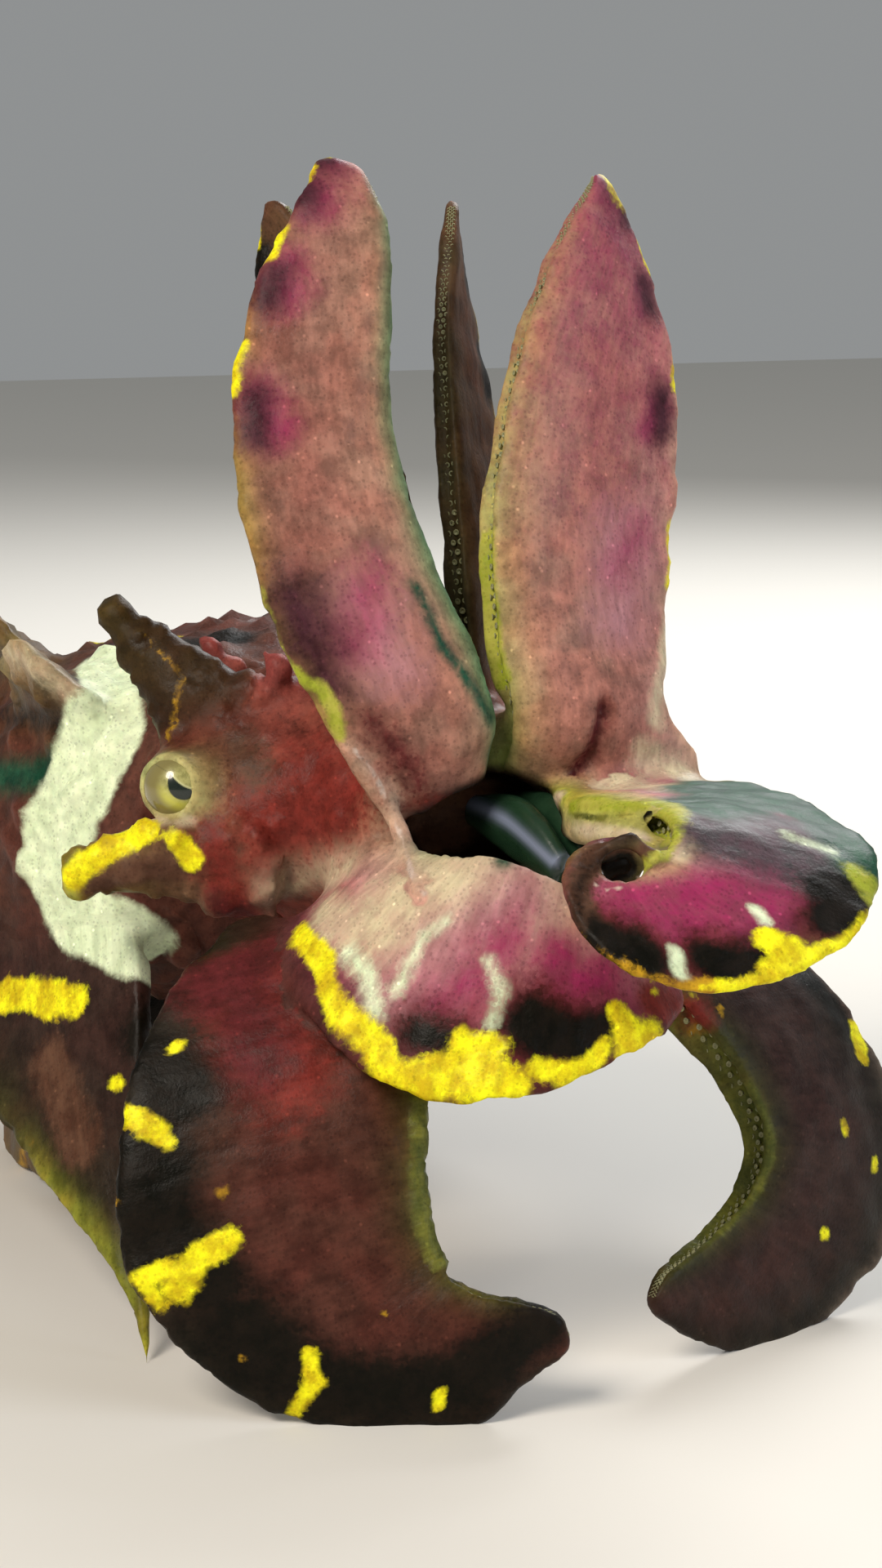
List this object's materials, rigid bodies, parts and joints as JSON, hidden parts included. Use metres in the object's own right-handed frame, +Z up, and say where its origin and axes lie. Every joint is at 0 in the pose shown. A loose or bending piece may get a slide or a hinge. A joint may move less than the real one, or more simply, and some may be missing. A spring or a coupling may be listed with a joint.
{
  "type": "life-size model of a flamboyant cuttlefish",
  "caption": "Still, life-size model of a flamboyant cuttlefish, walking on its lowest arms with its upper arms raised.",
  "frame": {"origin": "on the floor, under the middle of the animal's box", "axes": "+X to the animal's left, +Y backwards along the body, from the crown of arms to the tail, and +Z up"},
  "size_m": [0.0724, 0.1316, 0.0966],
  "materials": {
    "mantle_skin": "wet skin, maroon and brown with pale bands",
    "head_skin": "wet skin, reddish brown with fine pale specks",
    "arm_skin": "wet skin, magenta to maroon with yellow margins and black blotches",
    "fin_skin": "wet skin, grey maroon with a yellow edge",
    "club_skin": "glossy dark green",
    "eye_shine": "clear and glossy, yellow green with a black pupil"
  },
  "bodies": {
    "root": {"arm_1_left_root": "arm_skin", "arm_1_left_tip": "arm_skin", "arm_1_right_root": "arm_skin", "arm_1_right_tip": "arm_skin", "arm_2_left_root": "arm_skin", "arm_2_left_tip": "arm_skin", "arm_2_right_root": "arm_skin", "arm_2_right_tip": "arm_skin", "arm_3_left_middle": "arm_skin", "arm_3_left_root": "arm_skin", "arm_3_left_tip": "arm_skin", "arm_3_right_middle": "arm_skin", "arm_3_right_root": "arm_skin", "arm_3_right_tip": "arm_skin", "arm_4_left_middle": "arm_skin", "arm_4_left_root": "arm_skin", "arm_4_left_tip": "arm_skin", "arm_4_right_middle": "arm_skin", "arm_4_right_root": "arm_skin", "arm_4_right_tip": "arm_skin", "eye_left": "eye_shine", "eye_right": "eye_shine", "fin_left": "fin_skin", "fin_right": "fin_skin", "funnel": "head_skin", "head": "head_skin", "lobe_left": "mantle_skin", "lobe_right": "mantle_skin", "mantle": "mantle_skin", "tentacle_left": "club_skin", "tentacle_right": "club_skin"}
  },
  "joints": []
}
